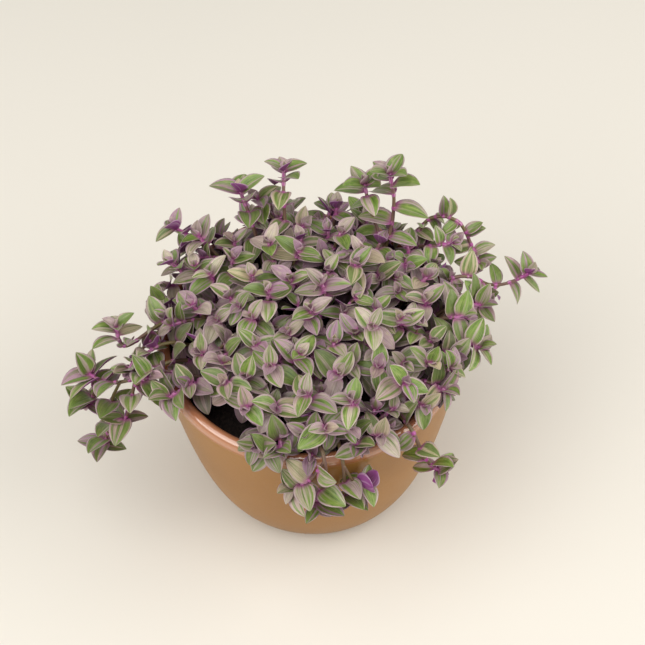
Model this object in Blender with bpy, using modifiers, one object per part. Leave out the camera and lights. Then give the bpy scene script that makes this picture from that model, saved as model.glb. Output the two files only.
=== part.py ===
"""A potted turtle vine: a mound of small creeping stems with folded, ovate leaves, in a round glazed bowl of soil.

Metres, +Z up. The origin is the middle of the bowl's underside, and -Y is the front.
Each leafy stem is one solid that stands in its own hole in the soil and keeps clear of the others.
"""

import math
import random

import bmesh
import bpy
from mathutils import Matrix, Quaternion, Vector
from mathutils.bvhtree import BVHTree

MM = 0.001
UP = Vector((0, 0, 1))

# The bowl
RIM_RADIUS = 75 * MM
RIM_HEIGHT = 115 * MM
RIM_WIDTH = 6.6 * MM
RIM_ROUNDING = 4.5 * MM
FOOT_RADIUS = 44 * MM
BELLY_POWER = 0.35
WALL = 5.5 * MM
FLOOR = 9 * MM
ROUND_STEPS = 36
OUTER_POINTS = 7
RIM_POINTS = 5
INNER_POINTS = 3

# The soil
SOIL_HEIGHT = RIM_HEIGHT - 13 * MM
SEAT_GAP = 0.3 * MM
ROOT_DEPTH = 8 * MM
HOLE_SIDES = 5
HOLE_SLACK = 0.65 * MM

# Stems
STEM_STEP = 12 * MM
STEM_TURN = 26
STEM_THICK = 1.15 * MM
STEM_THIN = 0.8 * MM
STEM_SIDES = 4
JOINT_TRIANGLES = 8
SMOOTH_SAMPLES = 12

# Leaves
BLADE = 0.65 * MM
LEAF_WIDTH = 0.33
LEAF_FULLEST = 0.72
LEAF_POINT = 0.85
FOLD = 0.34
CLEARANCE = 0.4 * MM
LEAF_TRIES = 18
STEM_TRIES = 60
ROOTS_APART = 5.5 * MM

# The mound of stems: its shoots' tips fill a sunflower pattern out to an edge, which is given in
# millimetres for every 30 degrees round the bowl, from straight left towards the front
MOUND_TIPS = 68
MOUND_EDGE = [74, 69, 66, 76, 77, 70, 77, 69, 63, 62, 70, 75]
CROWN_HEIGHT = 34 * MM
CROWN_DROP = 18 * MM
CROWN_NOISE = 4.5 * MM
GOLDEN_ANGLE = 137.508
MAIN_LEAVES = 4
SIDE_LEAVES = 4
SEED = 11

# Stems that stand out of the mound or trail over the rim: points of the centre line, each as
# degrees round the bowl, and millimetres from its axis and above its rim. Root first, tip last.
REACHING_STEMS = {
    "left_low": [(-163, 50, -13), (-162, 66, 6), (-161, 80, 4), (-163, 93, -2), (-167, 103, -7), (-171, 109, -9)],
    "left_high": [(176, 50, -13), (179, 66, 8), (-174, 80, 9), (-171, 89, 7), (-174, 92, 10), (-176, 92, 14)],
    "left_front": [(-146, 50, -13), (-147, 63, 4), (-148, 73, 6), (-149, 78, 3)],
    "left_edge": [(-170, 46, -13), (-169, 62, 7), (-168, 73, 11), (-167, 80, 7)],
    "back_left_low": [(141, 46, -13), (142, 60, 14), (144, 72, 22), (145, 80, 24)],
    "back_left": [(123, 38, -13), (121, 50, 22), (121, 62, 41)],
    "back": [(106, 34, -13), (104, 44, 20), (102, 53, 40), (100, 60, 49)],
    "back_edge": [(84, 40, -13), (82, 50, 8), (80, 58, 15), (79, 62, 17)],
    "back_right_edge": [(66, 44, -13), (65, 54, 8), (64, 61, 14), (63, 65, 16)],
    "back_right": [(46, 38, -13), (43, 52, 16), (46, 61, 38), (52, 65, 53)],
    "back_right_arch": [(34, 44, -13), (38, 62, 8), (40, 76, 20), (35, 83, 25), (31, 88, 22), (27, 90, 13), (20, 90, 6)],
    "right_far": [(12, 50, -13), (16, 66, 8), (17, 82, 7), (13, 91, 3), (12, 101, 4), (12, 111, 9)],
    "right": [(3, 50, -13), (3, 66, 8), (4, 77, 9), (4, 84, 6)],
    "right_low": [(-17, 48, -13), (-15, 66, 7), (-13, 76, 7), (-12, 83, 3)],
    "front_left_edge": [(-106, 48, -13), (-104, 60, 4), (-102, 70, 8), (-101, 74, 6)],
    "front_right_edge": [(-70, 48, -13), (-73, 62, 5), (-74, 72, 8), (-74, 75, 6)],
    "right_edge": [(-5, 42, -13), (-4, 58, 8), (-5, 70, 14), (-5, 74, 14)],
    "right_front_edge": [(-38, 46, -13), (-37, 60, 7), (-36, 70, 10), (-35, 76, 7)],
    "front_hanging": [(-91, 48, -13), (-88, 66, 5), (-86, 76, 5), (-86, 81, -3), (-88, 81, -16), (-89, 81, -32)],
    "front_right_hanging": [(-80, 48, -13), (-80, 66, 3), (-80, 76, 4), (-80, 81, -6), (-80, 81, -18), (-78, 82, -28)],
    "right_front_hanging": [(-50, 48, -13), (-53, 66, 4), (-54, 79, 4), (-54, 87, -8), (-51, 94, -16)],
}
# Side shoots of those stems: the share of the parent's length where each starts, then its points as above.
REACHING_SIDES = {
    "left_low": [(0.76, [(-164, 100, -14), (-163, 101, -25), (-162, 106, -36), (-162, 110, -49)]),
                 (0.66, [(-159, 92, -8), (-157, 95, -15), (-158, 98, -22)]),
                 (0.9, [(-167, 108, -15), (-167, 112, -24)])],
    "left_high": [(0.5, [(-168, 86, 4), (-165, 90, 1)])],
    "back": [(0.55, [(110, 56, 26), (114, 60, 33)])],
    "back_right": [(0.5, [(58, 57, 34), (62, 60, 44)])],
    "back_right_arch": [(0.4, [(31, 72, 15), (27, 80, 17)])],
    "front_hanging": [(0.56, [(-92, 82, -7), (-97, 82, -13)])],
    "front_right_hanging": [(0.62, [(-77, 83, -10), (-73, 83, -15)])],
}
REACHING_LEAVES = 12
REACHING_SIDE_LEAVES = 8
FEWER_LEAVES = {"stem_front_hanging": 6, "stem_front_right_hanging": 6}
LEAF_SCALES = {
    "stem_left_low": 1.15, "stem_back_left": 1.28, "stem_back": 1.15, "stem_back_right": 1.15,
    "stem_back_right_arch": 0.74, "stem_right_far": 0.86, "stem_back_edge": 0.9, "stem_front_hanging": 1.08,
}


def polar(azimuth, radius, height):
    """A point by degrees round the bowl, distance from its axis, and height above the ground."""
    turn = math.radians(azimuth)
    return Vector((radius * math.cos(turn), radius * math.sin(turn), height))


def smooth_line(knots):
    """Closely spaced points on a Catmull-Rom curve through the knots."""
    ends = [2 * knots[0] - knots[1], *knots, 2 * knots[-1] - knots[-2]]
    line = []
    for a, b, c, d in zip(ends, ends[1:], ends[2:], ends[3:]):
        for i in range(SMOOTH_SAMPLES):
            t = i / SMOOTH_SAMPLES
            square, cube = 2 * a - 5 * b + 4 * c - d, 3 * b - a - 3 * c + d
            line.append(0.5 * (2 * b + (c - a) * t + square * t**2 + cube * t**3))
    return [*line, knots[-1]]


class Axis:
    """The centre line of one stem or side shoot, with its thickness, which falls from root to tip."""

    def __init__(self, knots, root=0.0, thick=STEM_THICK, thin=STEM_THIN):
        self.line = smooth_line(knots)
        self.thick, self.thin = thick, thin
        self.along = [0.0]
        for a, b in zip(self.line, self.line[1:]):
            self.along.append(self.along[-1] + (b - a).length)
        self.length = self.along[-1]
        ways = [(b - a).normalized() for a, b in zip(self.line, self.line[1:])]
        turning = sum(math.degrees(a.angle(b)) for a, b in zip(ways, ways[1:]))
        count = max(2, round((self.length - root) / STEM_STEP), round(turning / STEM_TURN))
        bends = [root + (self.length - root) * i / count for i in range(count + 1)]
        self.bends = [0.0, *bends] if root else bends
        self.rooted = root > 0

    def point(self, distance):
        """The point at this distance from the root."""
        distance = min(max(distance, 0.0), self.length)
        i = next((k for k in range(1, len(self.along)) if self.along[k] >= distance), len(self.along) - 1)
        share = (distance - self.along[i - 1]) / max(self.along[i] - self.along[i - 1], 1e-9)
        return self.line[i - 1].lerp(self.line[i], share)

    def core(self, distance):
        """The point of the segmented stem's own middle line at this distance from the root."""
        i = next((k for k in range(1, len(self.bends)) if self.bends[k] >= distance), len(self.bends) - 1)
        before, after = self.bends[i - 1], self.bends[i]
        return self.point(before).lerp(self.point(after), (distance - before) / (after - before))

    def direction(self, distance):
        """The way the stem grows at this distance from the root."""
        reach = 1.5 * MM
        return (self.point(distance + reach) - self.point(distance - reach)).normalized()

    def radius(self, distance):
        """Half the stem's thickness at this distance from the root."""
        return self.thick + (self.thin - self.thick) * distance / self.length


class Leaf:
    """A folded, ovate blade: where it leaves its stem, which way it points, and how it bends."""

    def __init__(self, base, direction, face, length, bend, age):
        self.base = base
        self.direction = direction.normalized()
        self.side = self.direction.cross(face).normalized()
        self.face = self.side.cross(self.direction)
        self.length, self.bend, self.age = length, bend, age

    def half_width(self, u):
        """Half the blade's width at a share u of its length."""
        full = max(math.sin(math.pi * min(max(u, 0.0), 1.0) ** LEAF_FULLEST), 0.0)
        return LEAF_WIDTH * self.length * full**LEAF_POINT

    def frame(self, u):
        """The midrib's point, and the blade's facing direction there."""
        turn = self.bend * u
        if abs(self.bend) < 0.02:
            ahead, down = u, 0.0
        else:
            ahead, down = math.sin(turn) / self.bend, (1 - math.cos(turn)) / self.bend
        point = self.base + self.length * (ahead * self.direction - down * self.face)
        return point, math.cos(turn) * self.face + math.sin(turn) * self.direction

    def point(self, u, v, lift=0.0):
        """A point of the blade: u along it, v from -1 to 1 across it, and a lift off its middle surface."""
        middle, facing = self.frame(u)
        half = self.half_width(u)
        return middle + v * half * self.side + (FOLD * half * abs(v) ** 1.4 + lift) * facing


# The outline of a plain blade, as shares along and across, and its triangles on either side of the fold
BLADE_POINTS = [(0.0, 0), (0.24, 1), (0.62, 1), (1.0, 0), (0.62, -1), (0.24, -1)]
BLADE_FACES = [(3, 1, 0), (3, 2, 1), (3, 5, 4), (3, 0, 5)]


def blade_shell(leaf, thickness, spread):
    """The closed surface of a plain blade with this thickness, its outline moved out by spread."""
    middle = leaf.point(0.45, 0)
    corners = []
    for lift in (thickness / 2, -thickness / 2):
        ring = [leaf.point(u, v, lift) for u, v in BLADE_POINTS]
        corners += [p + (p - middle).normalized() * spread for p in ring]
    under = [(c + 6, b + 6, a + 6) for a, b, c in BLADE_FACES]
    sides = [(i, (i + 1) % 6, (i + 1) % 6 + 6, i + 6) for i in range(6)]
    return corners, BLADE_FACES + under + sides


def tube_shell(axis, spread):
    """The surface of a stem above the soil, moved out by spread, as rings of corners."""
    above = ROOT_DEPTH + 1 * MM if axis.rooted else 0.0
    places = [above] + [d for d in axis.bends if d > above]
    corners, faces = [], []
    for d in places:
        grow = axis.direction(d)
        first = grow.orthogonal().normalized()
        for k in range(STEM_SIDES + 2):
            turn = Quaternion(grow, 2 * math.pi * k / (STEM_SIDES + 2))
            corners.append(axis.core(d) + (turn @ first) * (axis.radius(d) + spread))
    n = STEM_SIDES + 2
    for ring in range(len(places) - 1):
        for k in range(n):
            a, b = ring * n + k, ring * n + (k + 1) % n
            faces.append((a, b, b + n, a + n))
    return corners, faces


class Crowd:
    """What is already placed, and what would come too near it."""

    def __init__(self):
        self.placed = []

    def add(self, owner, shell):
        corners, faces = shell
        middle = sum(corners, Vector()) / len(corners)
        reach = max((c - middle).length for c in corners)
        self.placed.append((owner, middle, reach, BVHTree.FromPolygons(corners, faces)))

    def touches(self, shell, leave_out=()):
        corners, faces = shell
        middle = sum(corners, Vector()) / len(corners)
        reach = max((c - middle).length for c in corners)
        tree = BVHTree.FromPolygons(corners, faces)
        for owner, centre, size, other in self.placed:
            if owner not in leave_out and (centre - middle).length < reach + size and tree.overlap(other):
                return True
        return False


def outer_radius(z):
    """The bowl's outside at a height: it leaves the table flat and stands nearly upright at the rim."""
    share = min(max(z / (RIM_HEIGHT - RIM_ROUNDING), 0.0), 1.0)
    return FOOT_RADIUS + (RIM_RADIUS - FOOT_RADIUS) * share**BELLY_POWER


def inner_wall():
    """(radius, height) points of the bowl's inside, from the edge of its floor up to under the rim."""
    top = RIM_HEIGHT - RIM_ROUNDING
    wall = [(outer_radius(FLOOR) - WALL - 3 * MM, FLOOR)]
    for i in range(1, INNER_POINTS):
        z = FLOOR + (top - FLOOR) * (i / (INNER_POINTS - 1)) ** 2
        wall.append((outer_radius(z) - WALL, z))
    return wall


def bowl_profile():
    """(radius, height) points from the middle of the inner floor over the rim to the middle of the foot."""
    under_rim = RIM_HEIGHT - RIM_ROUNDING
    middle = RIM_RADIUS - RIM_WIDTH / 2
    rim = []
    for i in range(RIM_POINTS):
        turn = math.pi * (1 - (i + 0.5) / RIM_POINTS)
        rim.append((middle + RIM_WIDTH / 2 * math.cos(turn), under_rim + RIM_ROUNDING * math.sin(turn)))
    outer = []
    for i in range(OUTER_POINTS):
        z = under_rim * (1 - i / (OUTER_POINTS - 1)) ** 2.4
        outer.append((outer_radius(z), z))
    return [(0, FLOOR), *inner_wall(), *rim, *outer, (0, 0)]


def turned(name, profile):
    """A solid of revolution about Z, from a profile that runs down its outer side."""
    mesh = bpy.data.meshes.new(name)
    points = [(r, 0, z) for r, z in profile]
    mesh.from_pydata(points, [(i, i + 1) for i in range(len(points) - 1)], [])
    obj = bpy.data.objects.new(name, mesh)
    screw = obj.modifiers.new("turn", "SCREW")
    screw.steps = screw.render_steps = ROUND_STEPS
    screw.use_merge_vertices = True
    screw.merge_threshold = 0.00001
    return obj


def soil_profile():
    """(radius, height) points of the soil: the bowl's inside up to the soil's height, less the gap round it."""
    (r_low, z_low), (r_high, z_high) = inner_wall()[-2:]
    level = (SOIL_HEIGHT - z_low) / (z_high - z_low)
    wall = [(r_low + (r_high - r_low) * level, SOIL_HEIGHT), *reversed(inner_wall()[:-1])]
    wall[-1] = (wall[-1][0], wall[-1][1] + SEAT_GAP)
    seated = [(r - 1.2 * SEAT_GAP, z) for r, z in wall]
    return [(0, SOIL_HEIGHT), *seated, (0, seated[-1][1])]


def surroundings():
    """A crowd that holds the bowl and the soil's top."""
    crowd = Crowd()
    steps = ROUND_STEPS
    profile = [*bowl_profile(), (0, SOIL_HEIGHT), (RIM_RADIUS - WALL, SOIL_HEIGHT)]
    corners, faces = [], []
    for r, z in profile:
        corners += [polar(360 * k / steps, r, z) for k in range(steps)]
    for row in range(len(profile) - 1):
        for k in range(steps):
            a, b = row * steps + k, row * steps + (k + 1) % steps
            faces.append((a, b, b + steps, a + steps))
    crowd.add("bowl", (corners, faces))
    return crowd


def rooted(knots):
    """The axis of a stem with a straight root in the soil below its first knot."""
    x, y = knots[0].x, knots[0].y
    collar = 2 * MM
    root = [Vector((x, y, SOIL_HEIGHT - ROOT_DEPTH)), Vector((x, y, SOIL_HEIGHT + collar))]
    return Axis([*root, *knots[1:]], ROOT_DEPTH + collar)


class Stem:
    """One leafy stem: its main axis, its side shoots, and the leaves on them."""

    def __init__(self, name, knots):
        self.name = name
        self.axes = [rooted(knots)]
        self.leaves = []

    def fork(self, share, knots):
        """Adds a side shoot that starts at a share of the main axis's length."""
        main = self.axes[0]
        start = main.core(share * main.length)
        thick = main.radius(share * main.length) * 0.9
        self.axes.append(Axis([start, *knots], 0.0, thick, STEM_THIN * 0.95))

    def is_clear(self, crowd):
        return not any(crowd.touches(tube_shell(axis, CLEARANCE)) for axis in self.axes)

    def join(self, crowd):
        for axis in self.axes:
            crowd.add((self.name, "stem"), tube_shell(axis, 0))


def reaching_stems(crowd):
    """The stems of REACHING_STEMS with their side shoots."""
    def placed(point):
        azimuth, radius, height = point
        return polar(azimuth, radius * MM, RIM_HEIGHT + height * MM)

    stems = []
    for name, points in REACHING_STEMS.items():
        stem = Stem("stem_" + name, [placed(p) for p in points])
        for share, side in REACHING_SIDES.get(name, []):
            stem.fork(share, [placed(p) for p in side])
        stem.join(crowd)
        stems.append(stem)
    return stems


def mound_edge(azimuth):
    """How far out the mound's shoots reach at this azimuth."""
    place = (azimuth + 180) % 360 / 30
    first = int(place) % 12
    near, far = MOUND_EDGE[first], MOUND_EDGE[(first + 1) % 12]
    return (near + (far - near) * (place - int(place))) * MM


def crown_height(share):
    """How high above the rim the mound's shoots grow, at a share of the way out to its edge."""
    return CROWN_HEIGHT - CROWN_DROP * share**2


def mound_tips():
    """The tips of the mound's shoots: a sunflower pattern, with every other one a little lower."""
    draw = random.Random(SEED)
    tips = []
    for number in range(MOUND_TIPS):
        share = math.sqrt((number + 0.5) / MOUND_TIPS)
        azimuth = GOLDEN_ANGLE * number + draw.uniform(-5, 5)
        height = crown_height(share) + draw.uniform(-1, 1) * CROWN_NOISE - number % 2 * 3 * MM
        tips.append(polar(azimuth, share * mound_edge(azimuth), RIM_HEIGHT + height))
    return tips


def tip_pairs():
    """The mound's tips two by two, from the outside in, each with the nearest that is left."""
    left = sorted(mound_tips(), key=lambda tip: -tip.xy.length)
    pairs = []
    while len(left) > 1:
        first = left.pop(0)
        second = min(left, key=lambda tip: (tip - first).length)
        left.remove(second)
        pairs.append((first, second))
    return pairs


def mound_stem(name, tip, side, loose, draw):
    """A stem of the mound that forks to two tips, its root this loosely placed."""
    start = Vector((tip.x, tip.y, 0)) * draw.uniform(0.55, 0.7) + Vector((side.x, side.y, 0)) * 0.12
    root = start + polar(draw.uniform(0, 360), draw.uniform(0, loose) * MM, 0)
    rise = tip.z - SOIL_HEIGHT
    lean = root.lerp(tip, 0.3)
    stem = Stem(name, [root, Vector((lean.x, lean.y, SOIL_HEIGHT + 0.5 * rise)), tip])
    main = stem.axes[0]
    share = draw.uniform(0.4, 0.55)
    fork = main.point(share * main.length)
    between = fork.lerp(side, 0.45) + UP * 1.5 * MM
    stem.fork(share, [between, side])
    return stem


def mound_stems(crowd, reaching):
    """The stems of the mound, each drawn again until it clears what stands before it."""
    stems = []
    for number, (tip, side) in enumerate(tip_pairs()):
        name = f"stem_mound_{number + 1:02d}"
        for attempt in range(STEM_TRIES):
            draw = random.Random(SEED * 1000 + number * 50 + attempt)
            stem = mound_stem(name, tip, side, 3 + attempt / 5, draw)
            if stem.is_clear(crowd) and is_apart(stem, reaching + stems):
                stem.join(crowd)
                stems.append(stem)
                break
    return stems


def is_apart(stem, others):
    """Whether a stem's root leaves room in the soil for the holes of the others."""
    root = stem.axes[0].line[0]
    return all((root - other.axes[0].line[0]).length > ROOTS_APART for other in others)


def leaf_on(axis, distance, azimuth, spread, length, bend, age, lightward):
    """A leaf that leaves an axis at an azimuth about it and an angle to it, its face turned towards the light."""
    grow, base = axis.direction(distance), axis.core(distance)
    reference = grow.cross(Vector((base.x, base.y, base.xy.length))).normalized()
    outward = Quaternion(grow, azimuth) @ reference
    direction = math.cos(spread) * grow + math.sin(spread) * outward + LEAF_RISE * (1 - grow.z) * UP
    face = math.sin(spread) * grow - math.cos(spread) * outward
    sky = UP - UP.dot(direction) * direction
    if sky.length > 0.15:
        face = face.lerp(sky.normalized(), lightward)
    return Leaf(base, direction, face, length, bend, age)


# By age from the tip back: a leaf's length, its angle to the stem, its bend, and its distance to the next
LEAF_LENGTHS = [10.5 * MM, 12.8 * MM, 14 * MM, 14.5 * MM, 14.5 * MM]
LEAF_ANGLES = [58, 72, 80, 84, 86]
LEAF_BENDS = [-6, 14, 24, 30, 34]
LEAF_STEPS = [1.5 * MM, 1.9 * MM, 2.6 * MM, 4.5 * MM, 7 * MM, 8 * MM]
LEAF_RISE = 0.32


def by_age(values, age):
    return values[min(age, len(values) - 1)]


def grow_leaf(stem, axis, distance, azimuth, age, lightward, crowd, draw):
    """Tries a leaf at a node of the stem, bent further aside each time, and keeps the first one that is clear."""
    size = by_age(LEAF_LENGTHS, age) * LEAF_SCALES.get(stem.name, 1.0)
    for attempt in range(LEAF_TRIES):
        loose = 0.35 + attempt / LEAF_TRIES
        leaf = leaf_on(
            axis,
            distance,
            azimuth + math.radians(draw.uniform(-40, 40) * loose),
            math.radians(by_age(LEAF_ANGLES, age) + draw.uniform(-22, 16) * loose),
            size * draw.uniform(0.92, 1.12) * (1 - 0.012 * attempt),
            math.radians(by_age(LEAF_BENDS, age) + draw.uniform(-14, 14)),
            age,
            lightward + draw.uniform(-0.35, 0.2),
        )
        guard = blade_shell(leaf, BLADE + 2 * CLEARANCE, CLEARANCE)
        if not crowd.touches(guard, leave_out=[(stem.name, "stem"), (stem.name, "leaf")]):
            if not crowd.touches(blade_shell(leaf, BLADE, 0), leave_out=[(stem.name, "stem")]):
                crowd.add((stem.name, "leaf"), blade_shell(leaf, BLADE, 0))
                stem.leaves.append(leaf)
                return


def leaf_places(axis, count):
    """(distance from the root, age) for the leaves of a shoot, from its tip back."""
    distance = axis.length - 0.6 * MM
    places = []
    for age in range(count):
        places.append((distance, age))
        distance -= by_age(LEAF_STEPS, age)
    return [p for p in places if p[0] > 0]


def put_leaves_on(stem, axis, places, lightward, turn, crowd, draw):
    """Leaves in two ranks from a shoot's tip back, which turn round it by up to this many degrees a leaf."""
    azimuth = math.radians(draw.uniform(0, 12 * turn))
    for distance, age in places:
        grow_leaf(stem, axis, distance, azimuth, age, lightward, crowd, draw)
        azimuth += math.pi + math.radians(draw.uniform(turn / 3, turn))


def grow_plant():
    """Every leafy stem, clear of the others, of the bowl and of the soil."""
    crowd = surroundings()
    reaching = reaching_stems(crowd)
    mound = mound_stems(crowd, reaching)
    for number, stem in enumerate(reaching):
        draw = random.Random(SEED * 77 + number)
        main_leaves = FEWER_LEAVES.get(stem.name, REACHING_LEAVES)
        for axis in stem.axes:
            count, first_leaf = (main_leaves, 26 * MM) if axis is stem.axes[0] else (REACHING_SIDE_LEAVES, 4 * MM)
            places = [p for p in leaf_places(axis, count) if p[0] > first_leaf]
            put_leaves_on(stem, axis, places, 0.8, 6, crowd, draw)
    for number, stem in enumerate(mound):
        draw = random.Random(SEED * 99 + number)
        for axis, count in zip(stem.axes, (MAIN_LEAVES, SIDE_LEAVES)):
            put_leaves_on(stem, axis, leaf_places(axis, count), 0.7, 38, crowd, draw)
    return reaching + mound


def stem_mesh(name, axis):
    """A closed, tapering tube along an axis, from a bevelled curve."""
    curve = bpy.data.curves.new(name, "CURVE")
    curve.dimensions = "3D"
    curve.bevel_depth = axis.thick
    curve.bevel_resolution = 0
    curve.use_fill_caps = True
    spline = curve.splines.new("POLY")
    spline.points.add(len(axis.bends) - 1)
    for point, distance in zip(spline.points, axis.bends):
        point.co = (*axis.point(distance), 1)
        point.radius = axis.radius(distance) / axis.thick
    guide = bpy.data.objects.new(name, curve)
    bpy.context.scene.collection.objects.link(guide)
    mesh = evaluated_mesh(guide)
    bpy.data.objects.remove(guide)
    welded = bmesh.new()
    welded.from_mesh(mesh)
    bmesh.ops.remove_doubles(welded, verts=welded.verts, dist=0.01 * MM)
    bmesh.ops.triangulate(welded, faces=[f for f in welded.faces if len(f.verts) > 4])
    bmesh.ops.recalc_face_normals(welded, faces=welded.faces)
    welded.to_mesh(mesh)
    welded.free()
    return mesh


def evaluated_mesh(obj):
    """A plain mesh of an object with its modifiers applied."""
    bpy.context.view_layer.update()
    graph = bpy.context.evaluated_depsgraph_get()
    return bpy.data.meshes.new_from_object(obj.evaluated_get(graph))


def blade_object(name, leaf):
    """A leaf as a few triangles with a thickness."""
    mesh = bpy.data.meshes.new(name)
    mesh.from_pydata([leaf.point(u, v) for u, v in BLADE_POINTS], [], BLADE_FACES)
    obj = bpy.data.objects.new(name, mesh)
    solidify = obj.modifiers.new("thickness", "SOLIDIFY")
    solidify.thickness = BLADE
    solidify.offset = 0
    return obj


def material(name, colour, roughness):
    made = bpy.data.materials.new(name)
    made.use_nodes = True
    shader = made.node_tree.nodes["Principled BSDF"]
    shader.inputs["Base Color"].default_value = (*colour, 1)
    shader.inputs["Roughness"].default_value = roughness
    shader.inputs["Metallic"].default_value = 0
    return made


def fused_stem(stem, finish, collection):
    """A stem's axes and leaves, joined in one solid."""
    repeats = bpy.data.collections.new(stem.name + "_repeats")
    bpy.context.scene.collection.children.link(repeats)
    for i, axis in enumerate(stem.axes[1:]):
        repeats.objects.link(bpy.data.objects.new(f"shoot_{i}", stem_mesh(f"shoot_{i}", axis)))
    for i, leaf in enumerate(stem.leaves):
        repeats.objects.link(blade_object(f"leaf_{i}", leaf))
    obj = bpy.data.objects.new(stem.name, stem_mesh(stem.name, stem.axes[0]))
    collection.objects.link(obj)
    union = obj.modifiers.new("leaves", "BOOLEAN")
    union.operand_type = "COLLECTION"
    union.collection = repeats
    union.operation = "UNION"
    union.solver = "MANIFOLD"
    obj.data = evaluated_mesh(obj)
    obj.modifiers.remove(union)
    for repeat in list(repeats.objects):
        bpy.data.objects.remove(repeat)
    bpy.data.collections.remove(repeats)
    make_plain(obj.data)
    simpler = obj.modifiers.new("simpler joints", "DECIMATE")
    segments = sum(len(axis.bends) - 1 for axis in stem.axes)
    wanted = (20 + JOINT_TRIANGLES) * len(stem.leaves) + 8 * segments
    simpler.ratio = min(1.0, wanted / len(obj.data.polygons))
    obj.data = evaluated_mesh(obj)
    obj.modifiers.remove(simpler)
    obj.data.materials.clear()
    obj.data.materials.append(finish)
    return obj


def make_plain(mesh):
    """Takes the needless corners out of a mesh's straight edges, and leaves it all in triangles."""
    plain = bmesh.new()
    plain.from_mesh(mesh)
    bmesh.ops.dissolve_verts(plain, verts=[v for v in plain.verts if len(v.link_edges) == 2])
    bmesh.ops.triangulate(plain, faces=plain.faces)
    plain.to_mesh(mesh)
    plain.free()


def add_bowl(collection):
    bowl = turned("bowl", bowl_profile())
    bowl.data.materials.append(material("terracotta glaze", (0.42, 0.22, 0.14), 0.25))
    collection.objects.link(bowl)


def add_soil(collection, cutters, stems):
    """The soil, with a plain hole for each stem's root."""
    soil = turned("soil", soil_profile())
    soil.data.materials.append(material("potting soil", (0.02, 0.014, 0.01), 0.95))
    collection.objects.link(soil)
    for stem in stems:
        root = stem.axes[0].line[0]
        depth = ROOT_DEPTH + SEAT_GAP
        across = STEM_THICK + HOLE_SLACK
        hole = bmesh.new()
        place = Matrix.Translation((root.x, root.y, SOIL_HEIGHT))
        bmesh.ops.create_cone(
            hole, cap_ends=True, segments=HOLE_SIDES, radius1=across, radius2=across, depth=2 * depth, matrix=place
        )
        mesh = bpy.data.meshes.new("hole")
        hole.to_mesh(mesh)
        hole.free()
        cutter = bpy.data.objects.new("hole", mesh)
        cutter.hide_render = True
        cutter.display_type = "WIRE"
        cutters.objects.link(cutter)
    cut = soil.modifiers.new("holes", "BOOLEAN")
    cut.operand_type = "COLLECTION"
    cut.collection = cutters
    cut.operation = "DIFFERENCE"


def main():
    for obj in list(bpy.data.objects):
        bpy.data.objects.remove(obj)
    collection = bpy.data.collections.new("potted turtle vine")
    cutters = bpy.data.collections.new("cutters")
    bpy.context.scene.collection.children.link(collection)
    bpy.context.scene.collection.children.link(cutters)
    stems = grow_plant()
    add_bowl(collection)
    add_soil(collection, cutters, stems)
    for stem in stems:
        fused_stem(stem, material("leaves of " + stem.name, (0.24, 0.27, 0.13), 0.5), collection)


main()
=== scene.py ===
"""A potted turtle vine: fine leaves and stems, glazed bowl, soil, light and camera.

Metres, +Z up. The plant grows by the same rules and draws as the solids, so each fine leaf lies on its solid.
"""

import math
import random

import bpy
import numpy as np
from mathutils import Matrix, Quaternion, Vector, noise
from mathutils.bvhtree import BVHTree


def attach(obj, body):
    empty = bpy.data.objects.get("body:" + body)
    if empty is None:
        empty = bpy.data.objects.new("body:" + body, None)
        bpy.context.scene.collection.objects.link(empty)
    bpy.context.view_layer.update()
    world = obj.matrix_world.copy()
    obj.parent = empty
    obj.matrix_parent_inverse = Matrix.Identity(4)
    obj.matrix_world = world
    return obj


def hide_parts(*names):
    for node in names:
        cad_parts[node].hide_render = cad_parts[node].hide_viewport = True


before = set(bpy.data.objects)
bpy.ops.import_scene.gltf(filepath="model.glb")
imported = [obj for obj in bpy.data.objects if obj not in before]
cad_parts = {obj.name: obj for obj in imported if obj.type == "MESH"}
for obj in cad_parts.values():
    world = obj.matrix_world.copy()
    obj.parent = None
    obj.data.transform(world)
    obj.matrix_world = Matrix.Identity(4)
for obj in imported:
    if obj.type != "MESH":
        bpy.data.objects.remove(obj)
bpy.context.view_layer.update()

MM = 0.001
UP = Vector((0, 0, 1))

# The bowl, and how many points its profile has on the inside, round the rim and on the outside
RIM_RADIUS = 75 * MM
RIM_HEIGHT = 115 * MM
RIM_WIDTH = 6.6 * MM
RIM_ROUNDING = 4.5 * MM
FOOT_RADIUS = 44 * MM
BELLY_POWER = 0.35
WALL = 5.5 * MM
FLOOR = 9 * MM
FLOOR_CORNER = 3 * MM
CLOSER_TO_FOOT = 2.4
PLAIN_POINTS = (3, 5, 7)
PLAIN_STEPS = 36
FINE_POINTS = (14, 17, 44)
FINE_STEPS = 168
# The foot ring: millimetres out from the foot's radius, and up
FOOT_RING = [(1.2, 0.9), (0.2, 0.15), (-1.4, 0), (-5, 0), (-7, 1.2)]
GLOSSY_FROM = RIM_HEIGHT - 3.4 * MM

# The soil, and its crumbs: how close they lie, and their height in millimetres
SOIL_HEIGHT = RIM_HEIGHT - 13 * MM
SEAT_GAP = 0.3 * MM
SIDE_GAP = 0.4 * MM
ROOT_DEPTH = 8 * MM
CRUMBS = [(140, 1.3), (420, 0.8), (1100, 0.45)]

# Stems: they bend once in this length or in this many degrees, and thin out towards the tip
STEM_STEP = 12 * MM
STEM_TURN = 26
STEM_THICK = 1.15 * MM
STEM_THIN = 0.8 * MM
SIDE_SHARE = 0.9
SIDE_THIN = STEM_THIN * 0.95
FILL_THIN = STEM_THIN * 0.8
STEM_SIDES = 6
SMOOTH_SAMPLES = 12

# Leaves
BLADE = 0.65 * MM
LEAF_WIDTH = 0.33
LEAF_FULLEST = 0.72
LEAF_POINT = 0.85
FOLD = 0.34
CUP = 1.4
STRAIGHT = 0.02
CLEARANCE = 0.4 * MM

SEED = 11

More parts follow.
